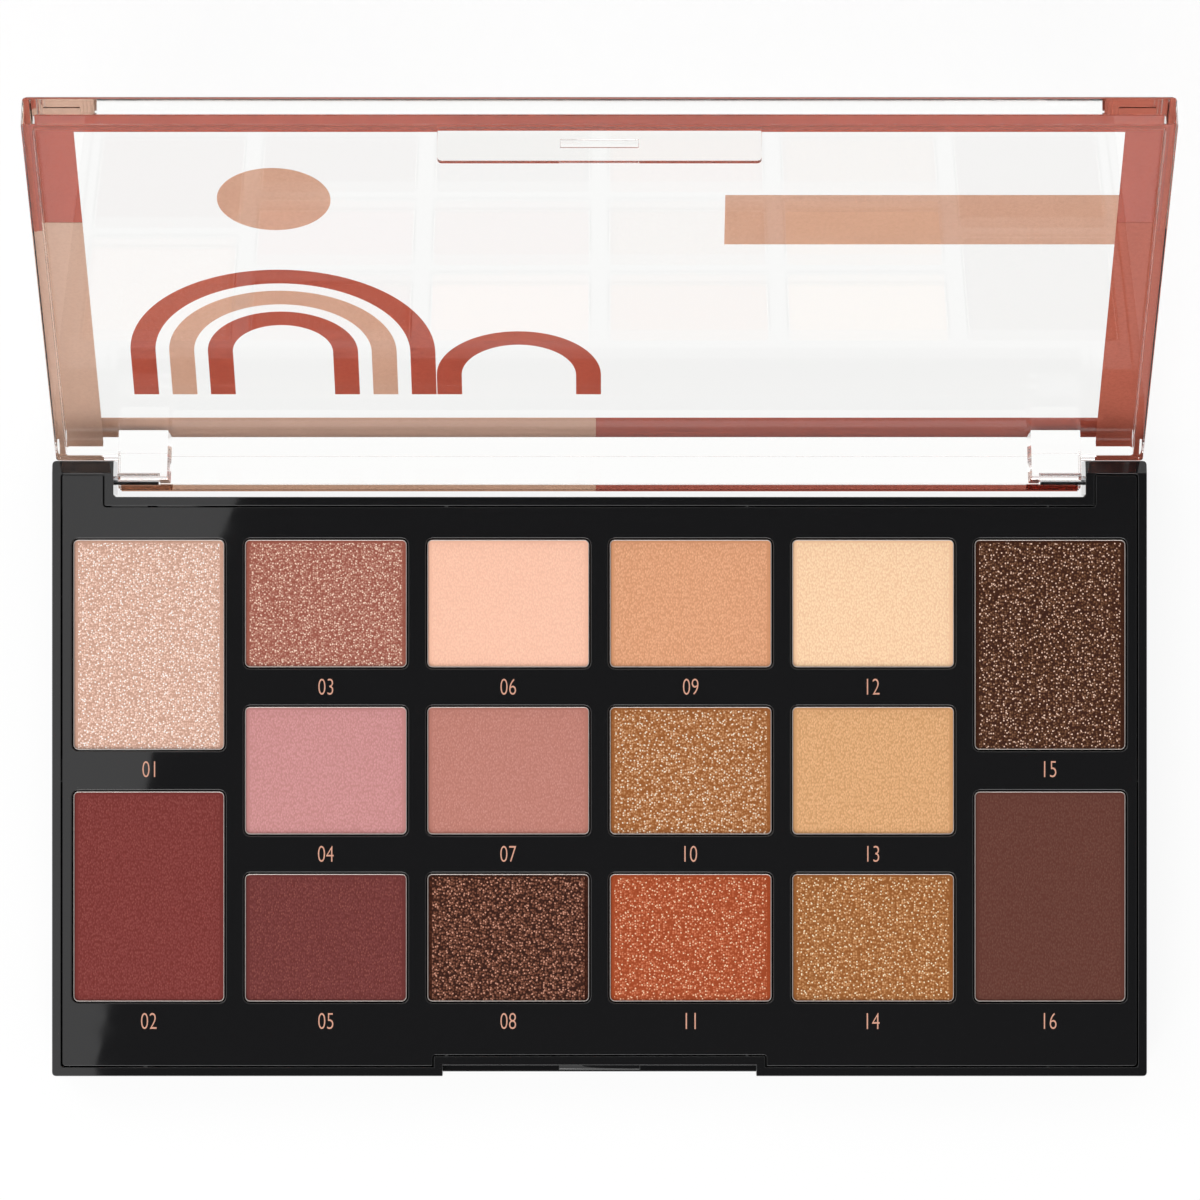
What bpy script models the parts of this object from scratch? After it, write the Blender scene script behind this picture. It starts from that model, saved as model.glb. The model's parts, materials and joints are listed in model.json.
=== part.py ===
"""Eyeshadow palette: a black tray with sixteen pressed-powder pans and a clear lid hinged along its back.

The origin is the centre of the tray's underside, with +Z up and -Y at the front, where the latch is. The lid
stands open against its stop, as it does in use. Sizes are in metres, written as millimetres times MM.
"""

import math

import bmesh
import bpy
from mathutils import Matrix

MM = 0.001

# Powder pans
MIDDLE_PAN_WIDTH = 22.2 * MM
MIDDLE_PAN_DEPTH = 17.5 * MM
SIDE_PAN_WIDTH = 20.7 * MM
PAN_HEIGHT = 3.0 * MM
PAN_WALL = 0.3 * MM
PAN_CORNER = 0.7 * MM
POWDER_GAP = 0.05 * MM
POWDER_DROP = 0.2 * MM
POWDER_EDGE = 0.15 * MM

# Layout of the pans: a block of middle pans with a column of longer pans on each side
MIDDLE_COLUMNS = 4
MIDDLE_ROWS = 3
SIDE_ROWS = 2
WELL_SPACE = 0.6 * MM
PAN_GAP_Y = 5.4 * MM
SIDE_PAN_GAP_Y = 5.7 * MM
SIDE_LEDGE = 0.4 * MM
FRONT_MARGIN = 10.2 * MM
BACK_LEDGE = 5.85 * MM

# Tray shell
TRAY_HEIGHT = 10.4 * MM
TRAY_WALL = 1.2 * MM
TRAY_FLOOR = 1.2 * MM
TRAY_CORNER = 0.5 * MM
TRAY_FOOT_CHAMFER = 0.3 * MM
INNER_CORNER = 0.4 * MM
RIB_THICKNESS = 1.2 * MM
RIB_REACH = 2.0 * MM
RIB_END_INSET = 13.0 * MM
RIBS_PER_WALL = 4

# Pan plate, which drops into the tray and holds the pans
PLATE_THICKNESS = 1.3 * MM
PLATE_DROP = 0.1 * MM
PLATE_SEAT_GAP = 0.1 * MM
SEAM = 0.2 * MM
WELL_CLEARANCE = 0.2 * MM
WELL_WALL = 0.9 * MM
WELL_FLOOR = 0.8 * MM
PAN_RIM_DROP = 0.3 * MM
PAN_SEAT_GAP = 0.1 * MM

# Hinge: two posts on the tray hold steel pins, and the lid's lugs clip onto the pins
POST_WIDTH = 8.4 * MM
HINGE_INSET = 2.65 * MM
POST_RIM = 0.1 * MM
PIN_RADIUS = 0.6 * MM
PIN_PROUD = 0.2 * MM
PIN_GRIP = 5.6 * MM
PIN_END_CHAMFER = 0.12 * MM
PIN_FIT = 0.05 * MM
LUG_FIT = 0.08 * MM
PIN_END_GAP = 0.2 * MM
LUG_END_WALL = 1.8 * MM
LUG_SIDE_SLOPE = 0.8 * MM
LUG_FRONT = 2.0 * MM
LUG_END = 0.5 * MM
LUG_SWEEP_GAP = 0.3 * MM
POST_GAP = 0.4 * MM
HINGE_PLATE_FRONT = 0.1 * MM
HINGE_PLATE_END = 0.6 * MM
HINGE_PLATE_SETBACK = 0.1 * MM
HINGE_PLATE_SHORT = 0.2 * MM
HINGE_PLATE_ROUND = 1.1 * MM
STOP_GAP = 0.15 * MM

# Lid
LID_HEIGHT = 4.4 * MM
LID_PANEL = 2.2 * MM
LID_WALL = 1.45 * MM
LID_EDGE = 0.5 * MM
LID_BACK_ROUND = 3.0 * MM
LID_BACK_SETBACK = 0.15 * MM
LID_RIM_GAP = 0.2 * MM
HINGE_BELOW_RIM = 4.7 * MM

# Front latch: a thin tab with a rib on the lid, a recess with a catch in the tray
TAB_WIDTH = 42.0 * MM
TAB_LENGTH = 5.6 * MM
TAB_THICKNESS = 0.65 * MM
TAB_SETBACK = 0.1 * MM
TAB_CORNER = 0.6 * MM
RECESS_SIDE_GAP = 0.5 * MM
RECESS_END_GAP = 0.6 * MM
LIP_SETBACK = 0.3 * MM
LATCH_RIB_WIDTH = 10.2 * MM
LATCH_RIB_HEIGHT = 1.25 * MM
LATCH_RIB_PROUD = 0.3 * MM
LATCH_RIB_BELOW_RIM = 2.0 * MM
CATCH_WIDTH = 11.1 * MM
CATCH_BELOW_TOP = 0.4 * MM
CATCH_PROUD = 0.65 * MM
CATCH_GAP = 0.15 * MM
CATCH_TAB_GAP = 0.1 * MM
LATCH_ROUND = 0.12 * MM

# Facets of round shapes, how far a cutter passes the face that it cuts, and how far joined shapes overlap
CORNER_STEPS = 3
ROUND_STEPS = 24
OVERCUT = 1.0 * MM
OVERLAP = 0.3 * MM
# Tests on edges: what counts as straight along an axis, as lying on a face and as a sharp corner
STRAIGHT = 0.001
ON_FACE = 0.03 * MM
SHARP = math.radians(40)
SQUARE = math.radians(80)

# Sizes that follow from the ones above
WELL_EDGE = WELL_CLEARANCE + WELL_WALL
PAN_GAP_X = 2 * WELL_EDGE + WELL_SPACE
SIDE_MARGIN = TRAY_WALL + SEAM + SIDE_LEDGE + WELL_EDGE
NOTCH_DEPTH = HINGE_INSET + LUG_FRONT + LUG_SWEEP_GAP
BACK_MARGIN = NOTCH_DEPTH + BACK_LEDGE
FIELD_WIDTH = (
    MIDDLE_COLUMNS * MIDDLE_PAN_WIDTH + (MIDDLE_COLUMNS + 1) * PAN_GAP_X + 2 * SIDE_PAN_WIDTH
)
FIELD_DEPTH = MIDDLE_ROWS * MIDDLE_PAN_DEPTH + (MIDDLE_ROWS - 1) * PAN_GAP_Y
SIDE_PAN_DEPTH = (FIELD_DEPTH - (SIDE_ROWS - 1) * SIDE_PAN_GAP_Y) / SIDE_ROWS
HALF_WIDTH = FIELD_WIDTH / 2 + SIDE_MARGIN
HALF_DEPTH = (FIELD_DEPTH + FRONT_MARGIN + BACK_MARGIN) / 2
FIELD_Y = (FRONT_MARGIN - BACK_MARGIN) / 2
PLATE_TOP = TRAY_HEIGHT - PLATE_DROP
PLATE_UNDERSIDE = PLATE_TOP - PLATE_THICKNESS
PAN_FLOOR_Z = PLATE_TOP - PAN_RIM_DROP - PAN_HEIGHT
WELL_FLOOR_Z = PAN_FLOOR_Z - PAN_SEAT_GAP
NOTCH_HALF = HALF_WIDTH - POST_WIDTH
NOTCH_FRONT = HALF_DEPTH - NOTCH_DEPTH
RECESS_HALF = TAB_WIDTH / 2 + RECESS_SIDE_GAP
RECESS_DEPTH = TAB_SETBACK + TAB_THICKNESS + CATCH_TAB_GAP + CATCH_PROUD
RECESS_BACK = -HALF_DEPTH + RECESS_DEPTH
HINGE_Y = HALF_DEPTH - HINGE_INSET
HINGE_Z = TRAY_HEIGHT + LID_RIM_GAP - HINGE_BELOW_RIM
LUG_OUTER_END = NOTCH_HALF - POST_GAP
PIN_INNER_END = LUG_OUTER_END - PIN_GRIP
LUG_INNER_END = PIN_INNER_END - PIN_END_GAP - LUG_END_WALL
# The backs of the posts slope away below the circle that the lid's rim sweeps about the hinge
POST_TOP = TRAY_HEIGHT - HINGE_Z
SWEEP_RADIUS = HINGE_BELOW_RIM - LID_RIM_GAP / 2
POST_CHAMFER_RUN = HINGE_INSET - math.sqrt(SWEEP_RADIUS**2 - POST_TOP**2)
POST_CHAMFER_DROP = POST_TOP - math.sqrt(SWEEP_RADIUS**2 - HINGE_INSET**2)
POST_BACK_WALL = POST_CHAMFER_RUN + POST_RIM
# The closed lid as the hinge sees it: its front face, top face and the underside of its panel
LID_FRONT = -HALF_DEPTH - HINGE_Y
LID_BACK_OVERHANG = HINGE_INSET - LID_BACK_SETBACK
LID_TOP = HINGE_BELOW_RIM + LID_HEIGHT
LID_CEILING = LID_TOP - LID_PANEL
# The lid stops where the outer corner of its rear rim meets the backs of the posts
RIM_CORNER_REACH = math.hypot(LID_BACK_OVERHANG, HINGE_BELOW_RIM)
LID_LEAN = math.atan2(LID_BACK_OVERHANG, HINGE_BELOW_RIM) + math.asin(
    (HINGE_INSET + STOP_GAP) / RIM_CORNER_REACH
)
LID_OPEN_ANGLE = math.pi - LID_LEAN

# Shade of the powder in each pan, column by column from the left, back to front
SHADES = (
    "D9B29E",
    "7F3A38",
    "A8695C",
    "CB8B90",
    "6E3638",
    "FBC3A8",
    "C17F74",
    "4A2A22",
    "E1A67A",
    "A97647",
    "B5532B",
    "FFD7A8",
    "E3AE77",
    "A8743A",
    "3F261B",
    "633830",
)


def linear(hex_colour):
    """Turns an sRGB hex colour into the linear values that a shader takes."""
    channels = [int(hex_colour[i : i + 2], 16) / 255 for i in (0, 2, 4)]
    return [c / 12.92 if c <= 0.04045 else ((c + 0.055) / 1.055) ** 2.4 for c in channels]


def finish(name, hex_colour, roughness, metallic=0.0, transmission=0.0):
    """Makes a material with one Principled shader."""
    material = bpy.data.materials.new(name)
    material.use_nodes = True
    shader = material.node_tree.nodes["Principled BSDF"]
    shader.inputs["Base Color"].default_value = (*linear(hex_colour), 1.0)
    shader.inputs["Roughness"].default_value = roughness
    shader.inputs["Metallic"].default_value = metallic
    shader.inputs["Transmission Weight"].default_value = transmission
    return material


def block(low, high):
    """A box between two corners, as a bmesh."""
    bm = bmesh.new()
    bmesh.ops.create_cube(bm, size=1.0)
    size = [b - a for a, b in zip(low, high)]
    middle = [(a + b) / 2 for a, b in zip(low, high)]
    bmesh.ops.scale(bm, vec=size, verts=bm.verts)
    bmesh.ops.translate(bm, vec=middle, verts=bm.verts)
    return bm


def round_edges(bm, radius, picked, steps=CORNER_STEPS):
    """Rounds the edges of a bmesh that the test picks."""
    edges = [edge for edge in bm.edges if picked(edge)]
    bmesh.ops.bevel(
        bm, geom=edges, offset=radius, segments=steps, profile=0.5, affect="EDGES", material=-1
    )
    return bm


def upright(edge):
    """True for an edge that runs along Z."""
    a, b = (v.co for v in edge.verts)
    return math.hypot(a.x - b.x, a.y - b.y) < abs(a.z - b.z) * STRAIGHT


def along_x(edge):
    """True for an edge that runs along X."""
    a, b = (v.co for v in edge.verts)
    return math.hypot(a.y - b.y, a.z - b.z) < abs(a.x - b.x) * STRAIGHT


def middle_of(edge):
    """The midpoint of an edge."""
    return (edge.verts[0].co + edge.verts[1].co) / 2


def rod(radius, length):
    """A round bar along X, centred on the origin, as a bmesh."""
    bm = bmesh.new()
    bmesh.ops.create_cone(
        bm, cap_ends=True, segments=ROUND_STEPS, radius1=radius, radius2=radius, depth=length
    )
    bmesh.ops.rotate(bm, matrix=Matrix.Rotation(math.pi / 2, 3, "Y"), verts=bm.verts)
    return bm


def mesh_of(bm, name, smooth=False):
    """Turns a bmesh into a mesh."""
    mesh = bpy.data.meshes.new(name)
    bm.to_mesh(mesh)
    bm.free()
    if smooth:
        mesh.shade_smooth()
        mesh.set_sharp_from_angle(angle=SHARP)
    return mesh


def place(mesh, name, material, location=(0, 0, 0), parent=None):
    """Adds a named piece of the palette."""
    piece = bpy.data.objects.new(name, mesh)
    PARTS.objects.link(piece)
    piece.location = location
    piece.parent = parent
    if not mesh.materials:
        mesh.materials.append(None)
    piece.material_slots[0].link = "OBJECT"
    piece.material_slots[0].material = material
    return piece


def tool(bm, name, parent=None):
    """Adds a helper solid that is cut from a piece, or joined to it, and isn't a piece itself."""
    helper = bpy.data.objects.new(name, mesh_of(bm, name))
    CUTTERS.objects.link(helper)
    helper.parent = parent
    helper.hide_render = True
    helper.display_type = "WIRE"
    return helper


def combine(piece, helper, operation):
    """Cuts a helper from a piece, or joins it to the piece."""
    modifier = piece.modifiers.new(f"{operation.lower()} {helper.name}", "BOOLEAN")
    modifier.operation = operation
    modifier.solver = "EXACT"
    modifier.object = helper


def several(shapes):
    """Puts several bmeshes that don't touch into one."""
    whole = bmesh.new()
    for shape in shapes:
        mesh = mesh_of(shape, "loose shape")
        whole.from_mesh(mesh)
        bpy.data.meshes.remove(mesh)
    return whole


def pan_places():
    """The centre and size of each pan in plan, column by column from the left, back to front."""
    side_x = FIELD_WIDTH / 2 - SIDE_PAN_WIDTH / 2
    middle_x = [
        (i - (MIDDLE_COLUMNS - 1) / 2) * (MIDDLE_PAN_WIDTH + PAN_GAP_X) for i in range(MIDDLE_COLUMNS)
    ]
    side = (SIDE_PAN_WIDTH, SIDE_PAN_DEPTH, SIDE_PAN_GAP_Y, SIDE_ROWS)
    middle = (MIDDLE_PAN_WIDTH, MIDDLE_PAN_DEPTH, PAN_GAP_Y, MIDDLE_ROWS)
    columns = [(-side_x, side), *((x, middle) for x in middle_x), (side_x, side)]
    places = []
    for x, (width, depth, gap, rows) in columns:
        for row in range(rows):
            y = FIELD_Y + ((rows - 1) / 2 - row) * (depth + gap)
            places.append((x, y, width, depth))
    return places


def rib_blocks():
    """The upright ribs inside the tray that carry the pan plate, along its front, back and side walls."""
    top = PLATE_UNDERSIDE - PLATE_SEAT_GAP
    spread = HALF_WIDTH - RIB_END_INSET
    half = RIB_THICKNESS / 2
    front_face = -HALF_DEPTH + TRAY_WALL
    back_face = NOTCH_FRONT - TRAY_WALL
    blocks = []
    for i in range(RIBS_PER_WALL):
        x = spread * (2 * i / (RIBS_PER_WALL - 1) - 1)
        blocks.append(
            block((x - half, front_face - OVERCUT, 0), (x + half, front_face + RIB_REACH, top))
        )
        blocks.append(block((x - half, back_face - RIB_REACH, 0), (x + half, back_face + OVERCUT, top)))
    reach = HALF_WIDTH - TRAY_WALL
    gap_half = SIDE_PAN_GAP_Y / 2 - WELL_EDGE - SEAM
    for side in (-1, 1):
        ends = sorted((side * (reach + OVERCUT), side * (reach - RIB_REACH)))
        blocks.append(
            block((ends[0], FIELD_Y - gap_half, 0), (ends[1], FIELD_Y + gap_half, top))
        )
    return blocks


def build_tray():
    """The tray: floor, walls, hinge posts at the back, and the latch recess with its catch at the front."""
    bm = block((-HALF_WIDTH, -HALF_DEPTH, 0), (HALF_WIDTH, HALF_DEPTH, TRAY_HEIGHT))
    round_edges(bm, TRAY_CORNER, upright)
    round_edges(bm, TRAY_FOOT_CHAMFER, lambda e: middle_of(e).z < TRAY_FOOT_CHAMFER / 2, steps=1)
    tray = place(mesh_of(bm, "tray shell"), "tray_shell", BLACK_PLASTIC)
    top = TRAY_HEIGHT + OVERCUT

    cavity = block(
        (-HALF_WIDTH + TRAY_WALL, -HALF_DEPTH + TRAY_WALL, TRAY_FLOOR),
        (HALF_WIDTH - TRAY_WALL, NOTCH_FRONT - TRAY_WALL, top),
    )
    cavity = tool(round_edges(cavity, INNER_CORNER, upright), "tray cavity")
    backing_half = RECESS_HALF + TRAY_WALL
    backing = block(
        (-backing_half, -HALF_DEPTH, 0), (backing_half, RECESS_BACK + TRAY_WALL, top + OVERCUT)
    )
    combine(cavity, tool(backing, "latch backing"), "DIFFERENCE")
    combine(cavity, tool(several(rib_blocks()), "tray ribs"), "DIFFERENCE")
    combine(tray, cavity, "DIFFERENCE")

    pocket_floor = PLATE_UNDERSIDE - PLATE_SEAT_GAP
    pockets = []
    for side in (-1, 1):
        ends = sorted((side * (NOTCH_HALF + TRAY_WALL), side * (HALF_WIDTH - TRAY_WALL)))
        low = (ends[0], NOTCH_FRONT - TRAY_WALL - OVERCUT, pocket_floor)
        pocket = block(low, (ends[1], HALF_DEPTH - POST_BACK_WALL, top))
        pockets.append(round_edges(pocket, INNER_CORNER, upright))
    combine(tray, tool(several(pockets), "post pockets"), "DIFFERENCE")

    notch = block((-NOTCH_HALF, NOTCH_FRONT, -OVERCUT), (NOTCH_HALF, HALF_DEPTH + OVERCUT, top))
    notch = round_edges(notch, INNER_CORNER, upright)
    combine(tray, tool(notch, "hinge notch"), "DIFFERENCE")

    reach = POST_CHAMFER_RUN * 2
    slope = tool(
        block((-HALF_WIDTH - OVERCUT, 0, 0), (HALF_WIDTH + OVERCUT, reach, reach)), "post chamfer"
    )
    slope.location = (0, HALF_DEPTH - POST_CHAMFER_RUN, TRAY_HEIGHT)
    slope.rotation_euler.x = -math.atan2(POST_CHAMFER_DROP, POST_CHAMFER_RUN)
    combine(tray, slope, "DIFFERENCE")

    bore = tool(rod(PIN_RADIUS + PIN_FIT, 2 * (HALF_WIDTH + OVERCUT)), "pin bore")
    bore.location = (0, HINGE_Y, HINGE_Z)
    combine(tray, bore, "DIFFERENCE")

    recess_floor = TRAY_HEIGHT + LID_RIM_GAP - TAB_LENGTH - RECESS_END_GAP
    front = -HALF_DEPTH - OVERCUT
    recess = block((-RECESS_HALF, front, recess_floor), (RECESS_HALF, RECESS_BACK, top))
    combine(tray, tool(recess, "latch recess"), "DIFFERENCE")
    lip = block(
        (-RECESS_HALF, front, -OVERCUT), (RECESS_HALF, -HALF_DEPTH + LIP_SETBACK, recess_floor + OVERLAP)
    )
    combine(tray, tool(lip, "recess lip"), "DIFFERENCE")

    catch_low = TRAY_HEIGHT + LID_RIM_GAP - LATCH_RIB_BELOW_RIM + CATCH_GAP
    catch = block(
        (-CATCH_WIDTH / 2, RECESS_BACK - CATCH_PROUD, catch_low),
        (CATCH_WIDTH / 2, RECESS_BACK + OVERLAP, TRAY_HEIGHT - CATCH_BELOW_TOP),
    )
    round_edges(catch, LATCH_ROUND, lambda e: middle_of(e).y < RECESS_BACK - CATCH_PROUD / 2)
    combine(tray, tool(catch, "latch catch"), "UNION")


def build_pan_plate():
    """The plate that fills the tray's top, with a floored well for each pan."""
    edge = TRAY_WALL + SEAM
    bm = block(
        (-HALF_WIDTH + edge, -HALF_DEPTH + edge, PLATE_UNDERSIDE),
        (HALF_WIDTH - edge, HALF_DEPTH - POST_BACK_WALL - SEAM, PLATE_TOP),
    )
    round_edges(bm, INNER_CORNER, upright)
    plate = place(mesh_of(bm, "pan plate"), "pan_plate", BLACK_PLASTIC)
    low, high = PLATE_UNDERSIDE - OVERCUT, PLATE_TOP + OVERCUT

    notch_half = NOTCH_HALF + edge
    notch = block((-notch_half, NOTCH_FRONT - edge, low), (notch_half, HALF_DEPTH, high))
    notch = round_edges(notch, INNER_CORNER, upright)
    combine(plate, tool(notch, "plate notch"), "DIFFERENCE")
    jog_half = RECESS_HALF + edge
    jog = block((-jog_half, -HALF_DEPTH, low), (jog_half, RECESS_BACK + edge, high))
    combine(plate, tool(round_edges(jog, INNER_CORNER, upright), "plate latch jog"), "DIFFERENCE")

    boxes = []
    wells = []
    for x, y, width, depth in pan_places():
        half_x = width / 2 + WELL_CLEARANCE
        half_y = depth / 2 + WELL_CLEARANCE
        well = block((x - half_x, y - half_y, WELL_FLOOR_Z), (x + half_x, y + half_y, high))
        wells.append(round_edges(well, PAN_CORNER + WELL_CLEARANCE, upright))
        half_x += WELL_WALL
        half_y += WELL_WALL
        box = block(
            (x - half_x, y - half_y, WELL_FLOOR_Z - WELL_FLOOR),
            (x + half_x, y + half_y, PLATE_UNDERSIDE + OVERLAP),
        )
        boxes.append(round_edges(box, PAN_CORNER + WELL_EDGE, upright))
    combine(plate, tool(several(boxes), "well boxes"), "UNION")
    combine(plate, tool(several(wells), "wells"), "DIFFERENCE")


def pan_mesh(width, depth):
    """An aluminium pan drawn as an open box, standing on its origin."""
    bm = block((-width / 2, -depth / 2, 0), (width / 2, depth / 2, PAN_HEIGHT))
    round_edges(bm, PAN_CORNER, upright)
    top = [face for face in bm.faces if face.normal.z > 0.5]
    bmesh.ops.delete(bm, geom=top, context="FACES_ONLY")
    return mesh_of(bm, "pan")


def powder_mesh(width, depth):
    """The cake of powder pressed into a pan, with its top edge slightly rounded."""
    inset = PAN_WALL + POWDER_GAP
    top = PAN_HEIGHT - POWDER_DROP
    half_x, half_y = width / 2 - inset, depth / 2 - inset
    bm = block((-half_x, -half_y, inset), (half_x, half_y, top))
    round_edges(bm, PAN_CORNER - inset, upright)
    round_edges(bm, POWDER_EDGE, lambda e: middle_of(e).z > top - POWDER_EDGE / 2, steps=2)
    return mesh_of(bm, "powder")


def build_pans():
    """All pans and the powder in them, each pair numbered column by column from the left, back to front."""
    meshes = {}
    for number, (x, y, width, depth) in enumerate(pan_places(), start=1):
        if (width, depth) not in meshes:
            meshes[width, depth] = (pan_mesh(width, depth), powder_mesh(width, depth))
        pan_shape, powder_shape = meshes[width, depth]
        location = (x, y, PAN_FLOOR_Z)
        pan = place(pan_shape, f"pan_{number:02d}", ALUMINIUM, location)
        wall = pan.modifiers.new("pan wall", "SOLIDIFY")
        wall.thickness = PAN_WALL
        wall.offset = -1
        wall.use_even_offset = True
        shade = SHADES[(number - 1) % len(SHADES)]
        powder = finish(f"powder {number:02d}", shade, roughness=0.9)
        place(powder_shape, f"powder_{number:02d}", powder, location)


def build_pins():
    """The two steel hinge pins, each pressed through a post and reaching into a lug of the lid."""
    outer_end = HALF_WIDTH + PIN_PROUD
    length = outer_end - PIN_INNER_END
    bm = rod(PIN_RADIUS, length)
    round_edges(bm, PIN_END_CHAMFER, lambda e: not along_x(e), steps=1)
    mesh = mesh_of(bm, "hinge pin", smooth=True)
    centre = (outer_end + PIN_INNER_END) / 2
    for name, side in (("left", -1), ("right", 1)):
        place(mesh, f"hinge_pin_{name}", STEEL, (side * centre, HINGE_Y, HINGE_Z))


def lid_body():
    """The lid as a solid slab with a well-rounded back, closed and seen from the hinge."""
    low = (-HALF_WIDTH, LID_FRONT, HINGE_BELOW_RIM)
    bm = block(low, (HALF_WIDTH, LID_BACK_OVERHANG, LID_TOP))
    back_top = (LID_BACK_OVERHANG, LID_TOP)
    round_edges(
        bm,
        LID_BACK_ROUND,
        lambda e: along_x(e) and math.dist(middle_of(e).yz, back_top) < ON_FACE,
        steps=2 * CORNER_STEPS,
    )
    above_rim = HINGE_BELOW_RIM + ON_FACE
    round_edges(bm, LID_EDGE, lambda e: e.calc_face_angle() > SQUARE and middle_of(e).z > above_rim)
    return bm


def hinge_lug(side):
    """A lug at one end of the hinge plate, with a sloping inner side."""
    ends = sorted((side * LUG_INNER_END, side * LUG_OUTER_END))
    back = LID_BACK_OVERHANG - LID_WALL + OVERLAP
    bm = block((ends[0], -LUG_FRONT, -LUG_END), (ends[1], back, LID_CEILING + OVERLAP))
    middle = (LUG_INNER_END + LUG_OUTER_END) / 2
    corner = [v for v in bm.verts if v.co.y < 0 and abs(v.co.x) < middle]
    bmesh.ops.translate(bm, vec=(side * LUG_SIDE_SLOPE, 0, 0), verts=corner)
    return bm


def build_lid():
    """The clear lid: panel and walls, the hinge plate and lugs at its back, and the latch tab at its front."""
    hinge = bpy.data.objects.new("lid_hinge", None)
    PARTS.objects.link(hinge)
    hinge.location = (0, HINGE_Y, HINGE_Z)
    hinge.rotation_euler.x = -LID_OPEN_ANGLE
    lid = place(mesh_of(lid_body(), "lid shell", smooth=True), "lid_shell", CLEAR_PLASTIC, parent=hinge)

    cavity = block(
        (-HALF_WIDTH + LID_WALL, LID_FRONT + LID_WALL, HINGE_BELOW_RIM - OVERCUT),
        (HALF_WIDTH - LID_WALL, LID_BACK_OVERHANG - LID_WALL, LID_CEILING),
    )
    round_edges(cavity, INNER_CORNER, lambda e: middle_of(e).z > HINGE_BELOW_RIM - OVERCUT / 2)
    combine(lid, tool(cavity, "lid cavity", hinge), "DIFFERENCE")

    plate_half = LUG_OUTER_END - HINGE_PLATE_SHORT
    plate_back = LID_BACK_OVERHANG - HINGE_PLATE_SETBACK
    plate = block(
        (-plate_half, -HINGE_PLATE_FRONT, -HINGE_PLATE_END),
        (plate_half, plate_back, LID_CEILING + OVERLAP),
    )
    round_edges(
        plate, HINGE_PLATE_ROUND, lambda e: along_x(e) and middle_of(e).y > plate_back - ON_FACE
    )
    combine(lid, tool(plate, "hinge plate", hinge), "UNION")
    combine(lid, tool(several(hinge_lug(side) for side in (-1, 1)), "hinge lugs", hinge), "UNION")
    grooves = []
    for side in (-1, 1):
        start = PIN_INNER_END - PIN_END_GAP
        length = NOTCH_HALF + OVERCUT - start
        groove = rod(PIN_RADIUS + LUG_FIT, length)
        bmesh.ops.translate(groove, vec=(side * (start + length / 2), 0, 0), verts=groove.verts)
        grooves.append(groove)
    combine(lid, tool(several(grooves), "pin grooves", hinge), "DIFFERENCE")

    tab_front = LID_FRONT + TAB_SETBACK
    tab_back = tab_front + TAB_THICKNESS
    tab_end = HINGE_BELOW_RIM - TAB_LENGTH
    tab = block(
        (-TAB_WIDTH / 2, tab_front, tab_end), (TAB_WIDTH / 2, tab_back, HINGE_BELOW_RIM + LID_HEIGHT / 2)
    )
    round_edges(
        tab,
        TAB_CORNER,
        lambda e: not (upright(e) or along_x(e)) and middle_of(e).z < HINGE_BELOW_RIM,
    )
    combine(lid, tool(tab, "latch tab", hinge), "UNION")
    rib_top = HINGE_BELOW_RIM - LATCH_RIB_BELOW_RIM
    rib = block(
        (-LATCH_RIB_WIDTH / 2, tab_back - OVERLAP, rib_top - LATCH_RIB_HEIGHT),
        (LATCH_RIB_WIDTH / 2, tab_back + LATCH_RIB_PROUD, rib_top),
    )
    round_edges(rib, LATCH_ROUND, lambda e: middle_of(e).y > tab_back + LATCH_RIB_PROUD / 2)
    combine(lid, tool(rib, "latch rib", hinge), "UNION")


def clear_scene():
    """Removes whatever objects the scene holds."""
    for old in list(bpy.data.objects):
        bpy.data.objects.remove(old, do_unlink=True)


def collection(name):
    """Adds a collection to the scene."""
    made = bpy.data.collections.new(name)
    bpy.context.scene.collection.children.link(made)
    return made


clear_scene()
PARTS = collection("Eyeshadow palette")
CUTTERS = collection("Cutters")
BLACK_PLASTIC = finish("black gloss plastic", "161617", roughness=0.2)
CLEAR_PLASTIC = finish("clear plastic", "F7F7F7", roughness=0.03, transmission=1.0)
ALUMINIUM = finish("aluminium", "C9C9CB", roughness=0.35, metallic=1.0)
STEEL = finish("steel", "B9BABD", roughness=0.25, metallic=1.0)
build_tray()
build_pan_plate()
build_pans()
build_pins()
build_lid()
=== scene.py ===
"""Looks of an eyeshadow palette: black tray, powders in bright pans and a clear printed lid.

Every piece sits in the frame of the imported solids, in metres. Sizes are written as millimetres
times MM, and places come from the boxes of the solids and from the lid's hinge.
"""

from __future__ import annotations

import json
import logging
import math
from dataclasses import dataclass
from enum import Enum

import bmesh
import bpy
from bmesh.types import BMEdge, BMesh, BMFace, BMVert
from bpy.types import Material, Mesh, Node, NodeSocket, NodeTree, Object, Scene
from mathutils import Matrix, Vector, noise

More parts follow.
